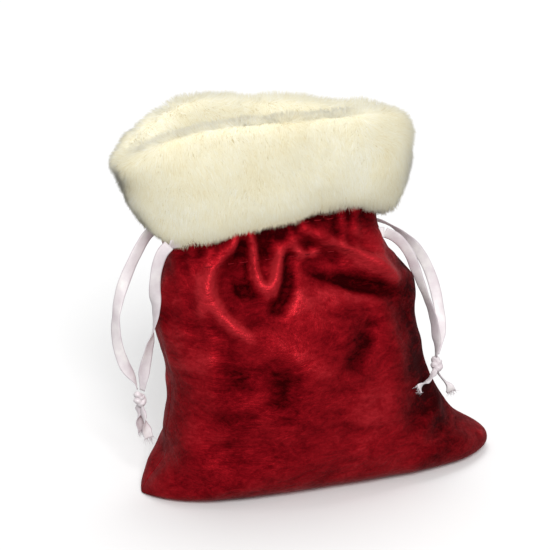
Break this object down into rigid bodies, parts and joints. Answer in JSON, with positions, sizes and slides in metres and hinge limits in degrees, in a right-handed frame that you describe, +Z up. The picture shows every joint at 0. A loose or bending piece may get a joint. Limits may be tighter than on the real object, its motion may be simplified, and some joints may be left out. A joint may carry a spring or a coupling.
{
  "type": "drawstring gift sack",
  "caption": "Velvet drawstring gift sack standing on its filled bottom, with a thick doubled fur cuff round the mouth and a knotted satin ribbon hanging at each side.",
  "frame": {"origin": "on the floor under the middle of the sack's outline, ribbons left out", "axes": "+Z up out of the mouth, -Y out of the front, +X to the right along the bottom seam"},
  "size_m": [0.215, 0.0923, 0.2115],
  "materials": {
    "velvet": "crushed velvet, short pile with a sheen",
    "velvet_backing": "matte knitted back of the velvet",
    "fur": "plush faux fur, soft and matte",
    "fur_facing": "plush faux fur, soft and matte",
    "satin_ribbon": "satin with a soft gloss",
    "thread": "twisted sewing thread"
  },
  "bodies": {
    "sack": {"front_panel": "velvet", "back_panel": "velvet", "left_side_seam": "velvet_backing", "right_side_seam": "velvet_backing", "bottom_seam": "velvet_backing", "front_tunnel_strip": "velvet_backing", "back_tunnel_strip": "velvet_backing", "front_tunnel_stitches": "thread", "back_tunnel_stitches": "thread", "left_cuff_corner": "fur", "right_cuff_corner": "fur", "left_ribbon_far_turn": "satin_ribbon", "right_ribbon_far_turn": "satin_ribbon"},
    "front_lip": {"front_cuff": "fur", "front_cuff_facing": "fur_facing"},
    "back_lip": {"back_cuff": "fur", "back_cuff_facing": "fur_facing"},
    "left_drawstring": {"left_ribbon_front_run": "satin_ribbon", "left_ribbon_back_run": "satin_ribbon"},
    "left_ribbon_loop": {"left_ribbon_front_strand": "satin_ribbon", "left_ribbon_back_strand": "satin_ribbon", "left_knot": "satin_ribbon", "left_front_tail": "satin_ribbon", "left_back_tail": "satin_ribbon"},
    "right_drawstring": {"right_ribbon_front_run": "satin_ribbon", "right_ribbon_back_run": "satin_ribbon"},
    "right_ribbon_loop": {"right_ribbon_front_strand": "satin_ribbon", "right_ribbon_back_strand": "satin_ribbon", "right_knot": "satin_ribbon", "right_front_tail": "satin_ribbon", "right_back_tail": "satin_ribbon"}
  },
  "joints": [
    {"name": "mouth_close", "type": "hinge", "parent": "sack", "child": "front_lip", "pos_m": [-0.021, -0.01, 0.14875], "axis": [-1, 0, 0], "range_deg": [0, 12]},
    {"name": "back_lip_close", "type": "hinge", "parent": "sack", "child": "back_lip", "pos_m": [-0.021, 0.02, 0.14875], "axis": [1, 0, 0], "range_deg": [0, 12]},
    {"name": "left_pull", "type": "slide", "parent": "sack", "child": "left_drawstring", "axis": [-1, 0, 0], "range_m": [0, 0.04]},
    {"name": "right_pull", "type": "slide", "parent": "sack", "child": "right_drawstring", "axis": [1, 0, 0], "range_m": [0, 0.04]},
    {"name": "left_loop_swing", "type": "hinge", "parent": "left_drawstring", "child": "left_ribbon_loop", "pos_m": [-0.082, 0.005, 0.142], "axis": [0, 1, 0], "range_deg": [0, 60]},
    {"name": "right_loop_swing", "type": "hinge", "parent": "right_drawstring", "child": "right_ribbon_loop", "pos_m": [0.04, 0.005, 0.135], "axis": [0, -1, 0], "range_deg": [0, 60]}
  ],
  "couplings": [
    {"joint": "back_lip_close", "follows": "mouth_close", "ratio": 1},
    {"joint": "left_pull", "follows": "mouth_close", "m_per_rad": 0.19098},
    {"joint": "right_pull", "follows": "mouth_close", "m_per_rad": 0.19098}
  ]
}
